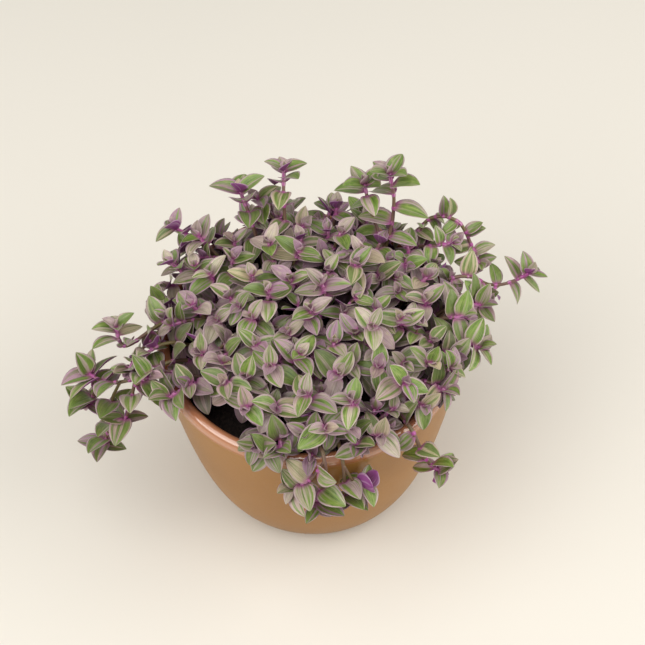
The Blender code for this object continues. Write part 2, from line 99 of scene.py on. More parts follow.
# The mound of stems. Its edge is in millimetres from the axis, by azimuth from -180 in even steps.
MOUND_TIPS = 68
MOUND_EDGE = [74, 69, 66, 76, 77, 70, 77, 69, 63, 62, 70, 75]
CROWN_HEIGHT = 34 * MM
CROWN_DROP = 18 * MM
CROWN_NOISE = 4.5 * MM
GOLDEN_ANGLE = 137.508
TIP_SWAY = 5
LOWER_TIP = 3 * MM

# A stem of the mound: its root's place as shares of its two tips', and where it leans and forks
ROOT_SHARES = (0.55, 0.7)
ROOT_ASIDE = 0.12
LEAN = 0.3
FORKS = (0.4, 0.55)
FORK_BOW = 1.5
ROOT_LOOSE = 3
LOOSER_AFTER = 5
ROOTS_APART = 5.5 * MM
STEM_TRIES = 60

# Stems that stand out of the mound or trail over the rim: points of the centre line, each as
# degrees round the bowl, and millimetres from its axis and above its rim. Root first, tip last.
REACHING_STEMS = {
    "left_low": [(-163, 50, -13), (-162, 66, 6), (-161, 80, 4), (-163, 93, -2), (-167, 103, -7), (-171, 109, -9)],
    "left_high": [(176, 50, -13), (179, 66, 8), (-174, 80, 9), (-171, 89, 7), (-174, 92, 10), (-176, 92, 14)],
    "left_front": [(-146, 50, -13), (-147, 63, 4), (-148, 73, 6), (-149, 78, 3)],
    "left_edge": [(-170, 46, -13), (-169, 62, 7), (-168, 73, 11), (-167, 80, 7)],
    "back_left_low": [(141, 46, -13), (142, 60, 14), (144, 72, 22), (145, 80, 24)],
    "back_left": [(123, 38, -13), (121, 50, 22), (121, 62, 41)],
    "back": [(106, 34, -13), (104, 44, 20), (102, 53, 40), (100, 60, 49)],
    "back_edge": [(84, 40, -13), (82, 50, 8), (80, 58, 15), (79, 62, 17)],
    "back_right_edge": [(66, 44, -13), (65, 54, 8), (64, 61, 14), (63, 65, 16)],
    "back_right": [(46, 38, -13), (43, 52, 16), (46, 61, 38), (52, 65, 53)],
    "back_right_arch": [(34, 44, -13), (38, 62, 8), (40, 76, 20), (35, 83, 25), (31, 88, 22), (27, 90, 13),
                        (20, 90, 6)],
    "right_far": [(12, 50, -13), (16, 66, 8), (17, 82, 7), (13, 91, 3), (12, 101, 4), (12, 111, 9)],
    "right": [(3, 50, -13), (3, 66, 8), (4, 77, 9), (4, 84, 6)],
    "right_low": [(-17, 48, -13), (-15, 66, 7), (-13, 76, 7), (-12, 83, 3)],
    "front_left_edge": [(-106, 48, -13), (-104, 60, 4), (-102, 70, 8), (-101, 74, 6)],
    "front_right_edge": [(-70, 48, -13), (-73, 62, 5), (-74, 72, 8), (-74, 75, 6)],
    "right_edge": [(-5, 42, -13), (-4, 58, 8), (-5, 70, 14), (-5, 74, 14)],
    "right_front_edge": [(-38, 46, -13), (-37, 60, 7), (-36, 70, 10), (-35, 76, 7)],
    "front_hanging": [(-91, 48, -13), (-88, 66, 5), (-86, 76, 5), (-86, 81, -3), (-88, 81, -16), (-89, 81, -32)],
    "front_right_hanging": [(-80, 48, -13), (-80, 66, 3), (-80, 76, 4), (-80, 81, -6), (-80, 81, -18),
                            (-78, 82, -28)],
    "right_front_hanging": [(-50, 48, -13), (-53, 66, 4), (-54, 79, 4), (-54, 87, -8), (-51, 94, -16)],
}
REACHING_SIDES = {
    "left_low": [(0.76, [(-164, 100, -14), (-163, 101, -25), (-162, 106, -36), (-162, 110, -49)]),
                 (0.66, [(-159, 92, -8), (-157, 95, -15), (-158, 98, -22)]),
                 (0.9, [(-167, 108, -15), (-167, 112, -24)])],
    "left_high": [(0.5, [(-168, 86, 4), (-165, 90, 1)])],
    "back": [(0.55, [(110, 56, 26), (114, 60, 33)])],
    "back_right": [(0.5, [(58, 57, 34), (62, 60, 44)])],
    "back_right_arch": [(0.4, [(31, 72, 15), (27, 80, 17)])],
    "front_hanging": [(0.56, [(-92, 82, -7), (-97, 82, -13)])],
    "front_right_hanging": [(0.62, [(-77, 83, -10), (-73, 83, -15)])],
}
FEWER_LEAVES = {"stem_front_hanging": 6, "stem_front_right_hanging": 6}
LEAF_SCALES = {
    "stem_left_low": 1.15, "stem_back_left": 1.28, "stem_back": 1.15, "stem_back_right": 1.15,
    "stem_back_right_arch": 0.74, "stem_right_far": 0.86, "stem_back_edge": 0.9, "stem_front_hanging": 1.08,
}
REACHING_LEAVES = 12
REACHING_SIDE_LEAVES = 8
BARE_STEM = 26 * MM
BARE_SHOOT = 4 * MM
MAIN_LEAVES = 4
SIDE_LEAVES = 4

# How far leaves are turned towards the light, and how many degrees each may stand on from the last
REACHING_WAY = (0.8, 6)
MOUND_WAY = (0.7, 38)
OLDER_WAY = (0.6, 38)
ARCH_WAY = (0.9, 50)

# By age from the tip back: a leaf's length, its angle to the stem, its bend, and its distance to the next, in
# millimetres and degrees
LEAF_LENGTHS = [10.5, 12.8, 14, 14.5, 14.5]
LEAF_ANGLES = [58, 72, 80, 84, 86]
LEAF_BENDS = [-6, 14, 24, 30, 34]
LEAF_STEPS = [1.5, 1.9, 2.6, 4.5, 7, 8]
FIRST_NODE = 0.6 * MM
LEAF_RISE = 0.32
TOO_STEEP = 0.15

# How loosely a leaf is drawn, more so with each try, and how much smaller it gets
LEAF_TRIES = 18
FIRST_LOOSE = 0.35
LOOSE_TURN = 40
LOOSE_ANGLE = (-22, 16)
LOOSE_SIZE = (0.92, 1.12)
LOOSE_BEND = 14
LOOSE_LIGHT = (-0.35, 0.2)
SMALLER = 0.012
FILL_SMALLER = 0.022

# What the scene adds to the solids: short shoots along the rim, by azimuth
EDGE_SHOOTS = [*range(-38, 209, 7), -109, -102]
# Short shoots in the mound, which leave the soil bare between two azimuths from a share of the way out
BARE_SOIL = (-152, -116, 0.76)
FILL_SHOOTS = 120
FILL_CHOICES = 24
FILL_DEPTHS = (1, 17)
FILL_LEAVES = 5
FILL_TRIES = 14
FILL_LOOSER = 0.5
FILL_BOW = 1.5
SHOOT_LENGTH = 13 * MM
SHOOT_RISE = 5 * MM
SHOOT_PLACES = 9
# Older leaves down the mound's stems and along the arched one
OLDER_LEAVES = 4
OLDER_ABOVE = 10 * MM
ARCH_LEAVES = 8
ARCH_FIRST = 8.5
ARCH_STEP = 7.5
# Open leaves across the newest ones
OPEN_LENGTH = 11.5 * MM
OPEN_BELOW = 0.9 * MM
OPEN_LIGHTWARD = 0.85
OPEN_TRIES = 8
# Buds, the outer one first, in millimetres and degrees
BUD_LENGTHS = [7.6, 4.8]
BUD_ANGLES = [50, 20]
BUD_LIGHTWARD = [0.7, 0.25]
BUD_BELOW = 0.2 * MM

# Fine blades: a grid of shares along and across, and how each blade differs from the plain one
ALONG = np.array([0, 0.05, 0.13, 0.23, 0.34, 0.46, 0.58, 0.7, 0.81, 0.9, 0.965])
ACROSS = np.array([-1, -0.87, -0.62, -0.3, 0, 0.3, 0.62, 0.87, 1])
FINE_BLADE = 0.42 * MM
WIDEST = 0.38
BASE_REACH = 0.4
TIP_CURVE = (1.9, 0.88)
FOLDS = {-2: 1.1, -1: 0.55, 0: 0.45, 1: 0.4}
GROOVE = 0.16

# Fine stems, with a sheath above each node
FINE_SIDES = 8
FINE_STEP = 1.4 * MM
SHEATH = 0.26 * MM
SHEATH_LENGTH = 1.9 * MM
SHEATH_BELOW = 0.8 * MM
END_SHARE = 0.55

# Tones: leaves below the first share are green, and below the second pale
GREEN_LEAVES = 0.14
PALE_LEAVES = 0.3
REACHING_PALE = 0.6
# Painted shade on a leaf grows with how far it stands below the mound's crown, up to this depth
SHADE_DEPTH = 26 * MM
NO_TONE = (0, 0, 0, 1)
LEAF_TOP, LEAF_UNDER, STEM_SKIN = range(3)

# Light and camera: each light's name, place, width and height, power and colour
LIGHTS = [
    ("key", (-0.35, -0.3, 1.4), (1.2, 1.2), 8.6, (1.0, 0.98, 0.95)),
    ("fill", (0.9, -0.15, 0.75), (1.2, 1.2), 8.8, (1.0, 0.98, 0.96)),
    ("window", (-0.92, -0.47, 0.82), (1.3, 0.6), 6.5, (1.0, 0.99, 0.97)),
]
CAMERA_ELEVATION = 53.96
CAMERA_TIP = -1.63
CAMERA_AIM = Vector((0.0061, 0.011, 0.104))
CAMERA_DISTANCE = 0.666
SENSOR_WIDTH = 36
FOCAL_PIXELS = 1340
IMAGE_WIDTH = 645


def polar(azimuth, radius, height):
    """A point by degrees round the bowl, distance from its axis, and height above the ground."""
    turn = math.radians(azimuth)
    return Vector((radius * math.cos(turn), radius * math.sin(turn), height))


def smooth_line(knots):
    """Closely spaced points on a Catmull-Rom curve through the knots."""
    ends = [2 * knots[0] - knots[1], *knots, 2 * knots[-1] - knots[-2]]
    line = []
    for a, b, c, d in zip(ends, ends[1:], ends[2:], ends[3:]):
        for i in range(SMOOTH_SAMPLES):
            t = i / SMOOTH_SAMPLES
            square, cube = 2 * a - 5 * b + 4 * c - d, 3 * b - a - 3 * c + d
            line.append(0.5 * (2 * b + (c - a) * t + square * t**2 + cube * t**3))
    return [*line, knots[-1]]


class Axis:
    """The centre line of one stem or side shoot, with its thickness, which falls from root to tip."""

    def __init__(self, knots, root=0.0, thick=STEM_THICK, thin=STEM_THIN):
        self.line = smooth_line(knots)
        self.thick, self.thin = thick, thin
        self.along = [0.0]
        for a, b in zip(self.line, self.line[1:]):
            self.along.append(self.along[-1] + (b - a).length)
        self.length = self.along[-1]
        ways = [(b - a).normalized() for a, b in zip(self.line, self.line[1:])]
        turning = sum(math.degrees(a.angle(b)) for a, b in zip(ways, ways[1:]))
        count = max(2, round((self.length - root) / STEM_STEP), round(turning / STEM_TURN))
        bends = [root + (self.length - root) * i / count for i in range(count + 1)]
        self.bends = [0.0, *bends] if root else bends
        self.rooted = root > 0

    @staticmethod
    def piece_at(distance, ends):
        """The number of the first end that is this far or further, or the last one."""
        return next((k for k in range(1, len(ends)) if ends[k] >= distance), len(ends) - 1)

    def point(self, distance):
        """The point at this distance from the root."""
        distance = min(max(distance, 0.0), self.length)
        i = self.piece_at(distance, self.along)
        share = (distance - self.along[i - 1]) / max(self.along[i] - self.along[i - 1], 1e-9)
        return self.line[i - 1].lerp(self.line[i], share)

    def core(self, distance):
        """The point of the segmented stem's own middle line at this distance from the root."""
        i = self.piece_at(distance, self.bends)
        before, after = self.bends[i - 1], self.bends[i]
        return self.point(before).lerp(self.point(after), (distance - before) / (after - before))

    def direction(self, distance):
        """The way the stem grows at this distance from the root."""
        reach = 1.5 * MM
        return (self.point(distance + reach) - self.point(distance - reach)).normalized()

    def radius(self, distance):
        """Half the stem's thickness at this distance from the root."""
        return self.thick + (self.thin - self.thick) * distance / self.length

    def eased(self, distance):
        """The middle line with its corners rounded."""
        reach = min(2.5 * MM, distance, self.length - distance)
        return (self.core(distance - reach) + 2 * self.core(distance) + self.core(distance + reach)) / 4


class Leaf:
    """A folded, ovate blade: where it leaves its stem, which way it points, and how it bends."""

    def __init__(self, base, direction, face, length, bend, age):
        self.base = base
        self.direction = direction.normalized()
        self.side = self.direction.cross(face).normalized()
        self.face = self.side.cross(self.direction)
        self.length, self.bend, self.age = length, bend, age

    def half_width(self, u):
        """Half the blade's width at a share u of its length."""
        full = max(math.sin(math.pi * min(max(u, 0.0), 1.0) ** LEAF_FULLEST), 0.0)
        return LEAF_WIDTH * self.length * full**LEAF_POINT

    def point(self, u, v, lift=0.0):
        """A point of the blade: u along it, v from -1 to 1 across it, and a lift off its middle surface."""
        turn = self.bend * u
        if abs(self.bend) < STRAIGHT:
            ahead, down = u, 0.0
        else:
            ahead, down = math.sin(turn) / self.bend, (1 - math.cos(turn)) / self.bend
        middle = self.base + self.length * (ahead * self.direction - down * self.face)
        facing = math.cos(turn) * self.face + math.sin(turn) * self.direction
        half = self.half_width(u)
        return middle + v * half * self.side + (FOLD * half * abs(v) ** CUP + lift) * facing


# The outline of a plain blade, as shares along and across, and its triangles on either side of the fold
BLADE_POINTS = [(0.0, 0), (0.24, 1), (0.62, 1), (1.0, 0), (0.62, -1), (0.24, -1)]
BLADE_FACES = [(3, 1, 0), (3, 2, 1), (3, 5, 4), (3, 0, 5)]


def blade_shell(leaf, thickness, spread):
    """The closed surface of a plain blade with this thickness, its outline moved out by spread."""
    middle = leaf.point(0.45, 0)
    corners = []
    for lift in (thickness / 2, -thickness / 2):
        ring = [leaf.point(u, v, lift) for u, v in BLADE_POINTS]
        corners += [p + (p - middle).normalized() * spread for p in ring]
    under = [(c + 6, b + 6, a + 6) for a, b, c in BLADE_FACES]
    sides = [(i, (i + 1) % 6, (i + 1) % 6 + 6, i + 6) for i in range(6)]
    return corners, BLADE_FACES + under + sides


def ring_faces(rings, sides):
    """The quads between rings of corners, each ring with this many sides."""
    quads = []
    for ring in range(rings - 1):
        for k in range(sides):
            a, b = ring * sides + k, ring * sides + (k + 1) % sides
            quads.append((a, b, b + sides, a + sides))
    return quads


def ring_corners(centre, grow, first, radius, sides):
    """The corners of a ring about a stem that grows this way, from the first direction on."""
    return [centre + (Quaternion(grow, 2 * math.pi * k / sides) @ first) * radius for k in range(sides)]


def tube_shell(axis, spread):
    """The surface of a stem above the soil, moved out by spread."""
    above = ROOT_DEPTH + 1 * MM if axis.rooted else 0.0
    places = [above] + [d for d in axis.bends if d > above]
    corners = []
    for d in places:
        grow = axis.direction(d)
        first = grow.orthogonal().normalized()
        corners += ring_corners(axis.core(d), grow, first, axis.radius(d) + spread, STEM_SIDES)
    return corners, ring_faces(len(places), STEM_SIDES)


class Crowd:
    """What is already placed, and what would come too near it."""

    def __init__(self):
        self.placed = []

    @staticmethod
    def measured(shell):
        """A shell's middle, how far it reaches from there, and its tree for finding overlaps."""
        corners, faces = shell
        middle = sum(corners, Vector()) / len(corners)
        return middle, max((c - middle).length for c in corners), BVHTree.FromPolygons(corners, faces)

    def add(self, owner, shell):
        self.placed.append((owner, *self.measured(shell)))

    def touches(self, shell, leave_out=()):
        middle, reach, tree = self.measured(shell)
        for owner, centre, size, other in self.placed:
            if owner not in leave_out and (centre - middle).length < reach + size and tree.overlap(other):
                return True
        return False


def outer_radius(z):
    """The bowl's outside at a height: it leaves the ground flat and stands nearly upright at the rim."""
    share = min(max(z / (RIM_HEIGHT - RIM_ROUNDING), 0.0), 1.0)
    return FOOT_RADIUS + (RIM_RADIUS - FOOT_RADIUS) * share**BELLY_POWER


def inner_wall(count):
    """(radius, height) points of the bowl's inside, from the edge of its floor up to under the rim."""
    top = RIM_HEIGHT - RIM_ROUNDING
    wall = [(outer_radius(FLOOR) - WALL - FLOOR_CORNER, FLOOR)]
    for i in range(1, count):
        z = FLOOR + (top - FLOOR) * (i / (count - 1)) ** 2
        wall.append((outer_radius(z) - WALL, z))
    return wall


def bowl_profile(inner, rounding, outer):
    """(radius, height) points from the middle of the inner floor over the rim to the middle of the foot."""
    under_rim = RIM_HEIGHT - RIM_ROUNDING
    middle = RIM_RADIUS - RIM_WIDTH / 2
    rim = []
    for i in range(rounding):
        turn = math.pi * (1 - (i + 0.5) / rounding)
        rim.append((middle + RIM_WIDTH / 2 * math.cos(turn), under_rim + RIM_ROUNDING * math.sin(turn)))
    outside = []
    for i in range(outer):
        z = under_rim * (1 - i / (outer - 1)) ** CLOSER_TO_FOOT
        outside.append((outer_radius(z), z))
    return [(0, FLOOR), *inner_wall(inner), *rim, *outside, (0, 0)]


def around(radius, height, steps):
    """A ring of points about the axis."""
    return [polar(360 * k / steps, radius, height) for k in range(steps)]


def surroundings():
    """A crowd that holds the bowl and the soil's top."""
    profile = [*bowl_profile(*PLAIN_POINTS), (0, SOIL_HEIGHT), (RIM_RADIUS - WALL, SOIL_HEIGHT)]
    corners = [corner for point in profile for corner in around(*point, PLAIN_STEPS)]
    crowd = Crowd()
    crowd.add("bowl", (corners, ring_faces(len(profile), PLAIN_STEPS)))
    return crowd


def rooted(knots):
    """The axis of a stem with a straight root in the soil below its first knot."""
    x, y = knots[0].x, knots[0].y
    collar = 2 * MM
    root = [Vector((x, y, SOIL_HEIGHT - ROOT_DEPTH)), Vector((x, y, SOIL_HEIGHT + collar))]
    return Axis([*root, *knots[1:]], ROOT_DEPTH + collar)


class Stem:
    """One leafy stem: its main axis, its side shoots, and the leaves on them."""

    def __init__(self, name, knots):
        self.name = name
        self.axes = [rooted(knots)]
        self.leaves = []

    def fork(self, share, knots):
        """Adds a side shoot that starts at a share of the main axis's length."""
        main = self.axes[0]
        start = main.core(share * main.length)
        thick = main.radius(share * main.length) * SIDE_SHARE
        self.axes.append(Axis([start, *knots], 0.0, thick, SIDE_THIN))

    def fits(self, crowd, others):
        """Whether it clears the crowd, and its root leaves room in the soil for the holes of the others."""
        if any(crowd.touches(tube_shell(axis, CLEARANCE)) for axis in self.axes):
            return False
        root = self.axes[0].line[0]
        return all((root - other.axes[0].line[0]).length > ROOTS_APART for other in others)

    def join(self, crowd):
        for axis in self.axes:
            crowd.add((self.name, "stem"), tube_shell(axis, 0))


def reaching_stems(crowd):
    """The stems of REACHING_STEMS with their side shoots."""
    def placed(azimuth, radius, height):
        return polar(azimuth, radius * MM, RIM_HEIGHT + height * MM)

    stems = []
    for name, points in REACHING_STEMS.items():
        stem = Stem("stem_" + name, [placed(*p) for p in points])
        for share, side in REACHING_SIDES.get(name, []):
            stem.fork(share, [placed(*p) for p in side])
        stem.join(crowd)
        stems.append(stem)
    return stems


def mound_edge(azimuth):
    """How far out the mound's shoots reach at this azimuth."""
    count = len(MOUND_EDGE)
    place = (azimuth + 180) % 360 / (360 / count)
    first = int(place) % count
    near, far = MOUND_EDGE[first], MOUND_EDGE[(first + 1) % count]
    return (near + (far - near) * (place - int(place))) * MM


def crown_height(share):
    """How high above the rim the mound's shoots grow, at a share of the way out to its edge."""
    return CROWN_HEIGHT - CROWN_DROP * share**2


def mound_tips():
    """The tips of the mound's shoots: a sunflower pattern, with every other one a little lower."""
    draw = random.Random(SEED)
    tips = []
    for number in range(MOUND_TIPS):
        share = math.sqrt((number + 0.5) / MOUND_TIPS)
        azimuth = GOLDEN_ANGLE * number + draw.uniform(-TIP_SWAY, TIP_SWAY)
        height = crown_height(share) + draw.uniform(-1, 1) * CROWN_NOISE - number % 2 * LOWER_TIP
        tips.append(polar(azimuth, share * mound_edge(azimuth), RIM_HEIGHT + height))
    return tips


def tip_pairs():
    """The mound's tips two by two, from the outside in, each with the nearest that is left."""
    left = sorted(mound_tips(), key=lambda tip: -tip.xy.length)
    pairs = []
    while len(left) > 1:
        first = left.pop(0)
        second = min(left, key=lambda tip: (tip - first).length)
        left.remove(second)
        pairs.append((first, second))
    return pairs


def mound_stem(name, tip, side, loose, draw):
    """A stem of the mound that forks to two tips, its root loose by up to this many millimetres."""
    start = Vector((tip.x, tip.y, 0)) * draw.uniform(*ROOT_SHARES) + Vector((side.x, side.y, 0)) * ROOT_ASIDE
    root = start + polar(draw.uniform(0, 360), draw.uniform(0, loose) * MM, 0)
    rise = tip.z - SOIL_HEIGHT
    lean = root.lerp(tip, LEAN)
    stem = Stem(name, [root, Vector((lean.x, lean.y, SOIL_HEIGHT + 0.5 * rise)), tip])
    main = stem.axes[0]
    share = draw.uniform(*FORKS)
    fork = main.point(share * main.length)
    stem.fork(share, [fork.lerp(side, 0.45) + UP * FORK_BOW * MM, side])
    return stem


def mound_stems(crowd, reaching):
    """The stems of the mound, each drawn again until it clears what stands before it."""
    stems = []
    for number, (tip, side) in enumerate(tip_pairs()):
        name = f"stem_mound_{number + 1:02d}"
        for attempt in range(STEM_TRIES):
            draw = random.Random(SEED * 1000 + number * 50 + attempt)
            stem = mound_stem(name, tip, side, ROOT_LOOSE + attempt / LOOSER_AFTER, draw)
            if stem.fits(crowd, reaching + stems):
                stem.join(crowd)
                stems.append(stem)
                break
    return stems


def leaf_on(axis, distance, azimuth, spread, length, bend, age, lightward):
    """A leaf that leaves an axis at an azimuth about it and an angle to it, its face turned towards the light."""
    grow, base = axis.direction(distance), axis.core(distance)
    reference = grow.cross(Vector((base.x, base.y, base.xy.length))).normalized()
    outward = Quaternion(grow, azimuth) @ reference
    direction = math.cos(spread) * grow + math.sin(spread) * outward + LEAF_RISE * (1 - grow.z) * UP
    face = math.sin(spread) * grow - math.cos(spread) * outward
    sky = UP - UP.dot(direction) * direction
    if sky.length > TOO_STEEP:
        face = face.lerp(sky.normalized(), lightward)
    leaf = Leaf(base, direction, face, length, bend, age)
    leaf.axis, leaf.at, leaf.azimuth = axis, distance, azimuth
    return leaf


def by_age(values, age):
    return values[min(age, len(values) - 1)]


def grow_leaf(stem, axis, distance, azimuth, age, lightward, crowd, draw, fill=False):
    """Tries a leaf at a node of the stem, bent further aside each time, and keeps the first one that is clear.

    A filling leaf may come nearer to its neighbours, and is a little smaller each time.
    """
    size = by_age(LEAF_LENGTHS, age) * MM * LEAF_SCALES.get(stem.name, 1.0)
    own_stem, own_leaves = (stem.name, "stem"), (stem.name, "leaf")
    for attempt in range(LEAF_TRIES):
        loose = FIRST_LOOSE + attempt / LEAF_TRIES
        leaf = leaf_on(
            axis,
            distance,
            azimuth + math.radians(draw.uniform(-LOOSE_TURN, LOOSE_TURN) * loose),
            math.radians(by_age(LEAF_ANGLES, age) + draw.uniform(*LOOSE_ANGLE) * loose),
            size * draw.uniform(*LOOSE_SIZE) * (1 - (FILL_SMALLER if fill else SMALLER) * attempt),
            math.radians(by_age(LEAF_BENDS, age) + draw.uniform(-LOOSE_BEND, LOOSE_BEND)),
            age,
            lightward + draw.uniform(*LOOSE_LIGHT),
        )
        shell = blade_shell(leaf, FINE_BLADE if fill else BLADE, 0)
        if fill:
            clear = not crowd.touches(shell, leave_out=[own_stem])
        else:
            guard = blade_shell(leaf, BLADE + 2 * CLEARANCE, CLEARANCE)
            clear = not crowd.touches(guard, leave_out=[own_stem, own_leaves])
            clear = clear and not crowd.touches(shell, leave_out=[own_stem])
        if clear:
            crowd.add(own_leaves, shell)
            stem.leaves.append(leaf)
            return


def leaf_places(axis, count, bare=0.0):
    """(distance from the root, age) for the leaves of a shoot, from its tip back to the bare part at its root."""
    distance = axis.length - FIRST_NODE
    places = []
    for age in range(count):
        places.append((distance, age))
        distance -= by_age(LEAF_STEPS, age) * MM
    return [p for p in places if p[0] > bare]


def put_leaves_on(stem, axis, places, lightward, turn, crowd, draw, fill=False):
    """Leaves in two ranks from a shoot's tip back, which turn round it by up to this many degrees a leaf."""
    azimuth = math.radians(draw.uniform(0, 12 * turn))
    for distance, age in places:
        grow_leaf(stem, axis, distance, azimuth, age, lightward, crowd, draw, fill)
        azimuth += math.pi + math.radians(draw.uniform(turn / 3, turn))


def grow_plant(crowd):
    """Every leafy stem, clear of the others, of the bowl and of the soil."""
    reaching = reaching_stems(crowd)
    mound = mound_stems(crowd, reaching)
    for number, stem in enumerate(reaching):
        draw = random.Random(SEED * 77 + number)
        main_leaves = FEWER_LEAVES.get(stem.name, REACHING_LEAVES)
        for axis in stem.axes:
            is_main = axis is stem.axes[0]
            count, bare = (main_leaves, BARE_STEM) if is_main else (REACHING_SIDE_LEAVES, BARE_SHOOT)
            put_leaves_on(stem, axis, leaf_places(axis, count, bare), *REACHING_WAY, crowd, draw)
    for number, stem in enumerate(mound):
        draw = random.Random(SEED * 99 + number)
        for axis, count in zip(stem.axes, (MAIN_LEAVES, SIDE_LEAVES)):
            put_leaves_on(stem, axis, leaf_places(axis, count), *MOUND_WAY, crowd, draw)
    return reaching, mound


def shoot_start(stems, tip):
    """The stem, and the place on one of its axes, that a filling shoot to this tip best grows from."""
    best = None
    for stem in stems:
        for axis in stem.axes:
            above = ROOT_DEPTH + 4 * MM if axis.rooted else 1 * MM
            for i in range(SHOOT_PLACES):
                distance = above + (axis.length - above) * i / SHOOT_PLACES
                start = axis.core(distance)
                away = tip - start
                cost = abs(away.length - SHOOT_LENGTH) + max(0.0, SHOOT_RISE - away.z) * 2
                if best is None or cost < best[0]:
                    best = (cost, stem, axis, distance)
    return best[1:]


def fill_shoot(stems, tip, crowd, draw):
    """A short side shoot to about this tip, from the nearest stem."""
    for attempt in range(FILL_TRIES):
        goal = tip + Vector([draw.uniform(-1, 1) * attempt * FILL_LOOSER * MM for _ in range(3)])
        stem, parent, distance = shoot_start(stems, goal)
        start = parent.core(distance)
        bow = start.lerp(goal, 0.5) + Vector([draw.uniform(-1, 1) * FILL_BOW * MM for _ in range(3)])
        axis = Axis([start, bow, goal], 0.0, SIDE_THIN, FILL_THIN)
        shell = tube_shell(axis, 0)
        if not crowd.touches(shell, leave_out=[(stem.name, "stem")]):
            stem.axes.append(axis)
            crowd.add((stem.name, "stem"), shell)
            put_leaves_on(stem, axis, leaf_places(axis, FILL_LEAVES), *MOUND_WAY, crowd, draw, True)
            return


def fill_mound(reaching, stems, crowd):
    """Short shoots along the rim and in the mound's widest gaps, and older leaves on its stems and the arched one."""
    draw = random.Random(SEED * 5)
    for azimuth in EDGE_SHOOTS:
        uneven, sway, rise = draw.uniform(-4, 4) * MM, draw.uniform(-3, 3), draw.uniform(3, 11) * MM
        reach = min(mound_edge(azimuth) + 4 * MM, RIM_RADIUS) + uneven
        fill_shoot(reaching + stems, polar(azimuth + sway, reach, RIM_HEIGHT + rise), crowd, draw)
    tips = [axis.line[-1] for stem in stems for axis in stem.axes]
    for _ in range(FILL_SHOOTS):
        places = []
        for _ in range(FILL_CHOICES):
            share, azimuth = math.sqrt(draw.uniform(0, 1.04)), draw.uniform(-180, 180)
            if BARE_SOIL[0] < azimuth < BARE_SOIL[1]:
                share = min(share, BARE_SOIL[2])
            height = crown_height(share) - draw.uniform(*FILL_DEPTHS) * MM
            places.append(polar(azimuth, share * mound_edge(azimuth), RIM_HEIGHT + max(height, 3.5 * MM)))
        tip = max(places, key=lambda p: min((p.xy - t.xy).length for t in tips))
        tips.append(tip)
        fill_shoot(stems, tip, crowd, draw)
    for stem in stems:
        for axis in stem.axes[:2]:
            places = leaf_places(axis, MAIN_LEAVES + OLDER_LEAVES, OLDER_ABOVE)[MAIN_LEAVES:]
            put_leaves_on(stem, axis, places, *OLDER_WAY, crowd, draw, True)
    arch = next(stem for stem in reaching if stem.name == "stem_back_right_arch")
    axis, age = arch.axes[0], 3
    places = [(axis.length - (ARCH_FIRST + ARCH_STEP * i) * MM, age) for i in range(ARCH_LEAVES)]
    put_leaves_on(arch, axis, places, *ARCH_WAY, crowd, draw, True)


def tip_azimuth(stem, axis, draw):
    """Where about a shoot its newest leaf stands, or any place where there is none."""
    newest = [leaf for leaf in stem.leaves if leaf.axis is axis and leaf.age == 0]
    return newest[0].azimuth if newest else draw.uniform(0, 2 * math.pi)


def open_pairs(stem, crowd, draw):
    """Two open leaves that stand across the newest ones at each tip of a stem."""
    for axis in stem.axes:
        azimuth = tip_azimuth(stem, axis, draw)
        for half_turns in (0.5, 1.5):
            for attempt in range(OPEN_TRIES):
                turn = azimuth + half_turns * math.pi + draw.uniform(-0.1, 0.1) * (1 + attempt)
                size = OPEN_LENGTH * LEAF_SCALES.get(stem.name, 1.0) * draw.uniform(0.85, 1.1)
                spread, bend = math.radians(draw.uniform(56, 78)), math.radians(draw.uniform(5, 30))
                leaf = leaf_on(axis, axis.length - OPEN_BELOW, turn, spread, size, bend, 0, OPEN_LIGHTWARD)
                shell = blade_shell(leaf, FINE_BLADE, 0)
                if not crowd.touches(shell, leave_out=[(stem.name, "stem"), (stem.name, "leaf")]):
                    crowd.add((stem.name, "leaf"), shell)
                    stem.leaves.append(leaf)
                    break


def close_buds(stem, draw):
    """The rolled young leaves in the middle of each shoot's tip, whose ages are below 0."""
    for axis in stem.axes:
        azimuth = tip_azimuth(stem, axis, draw)
        for number, (length, angle, lightward) in enumerate(zip(BUD_LENGTHS, BUD_ANGLES, BUD_LIGHTWARD)):
            azimuth += math.pi
            size = length * MM * draw.uniform(0.8, 1.15)
            spread = math.radians(angle + draw.uniform(-16, 12))
            bend = math.radians(draw.uniform(-30, -8))
            place = axis.length - BUD_BELOW
            stem.leaves.append(leaf_on(axis, place, azimuth, spread, size, bend, -1 - number, lightward))


def add_object(name, data):
    obj = bpy.data.objects.new(name, data)
    bpy.context.scene.collection.objects.link(obj)
    return obj


class Piece:
    """The corners and faces of one piece, with a place on its pattern and a tone for each corner."""

    def __init__(self):
        self.corners, self.faces, self.finishes, self.places, self.tones = [], [], [], [], []

    def add(self, corners, faces, finishes, places, tones):
        """Adds corners with their places and tones, and faces by corner number with their finishes."""
        first = sum(len(c) for c in self.corners)
        self.corners.append(np.asarray(corners, dtype=float))
        self.faces += [tuple(first + i for i in face) for face in faces]
        self.finishes += finishes
        self.places.append(np.asarray(places, dtype=float))
        self.tones.append(np.asarray(tones, dtype=float))

    def build(self, name, materials):
        mesh = bpy.data.meshes.new(name)
        corners = np.concatenate(self.corners)
        mesh.from_pydata(corners.tolist(), [], self.faces)
        mesh.polygons.foreach_set("use_smooth", [True] * len(self.faces))
        mesh.polygons.foreach_set("material_index", self.finishes)
        places, tones = np.concatenate(self.places), np.concatenate(self.tones)
        loops = np.empty(len(mesh.loops), dtype=np.int32)
        mesh.loops.foreach_get("vertex_index", loops)
        pattern = mesh.uv_layers.new(name="pattern")
        pattern.data.foreach_set("uv", places[loops].ravel())
        tone = mesh.attributes.new("tone", "FLOAT_COLOR", "POINT")
        tone.data.foreach_set("color", tones.ravel())
        for material in materials:
            mesh.materials.append(material)
        return add_object(name, mesh)


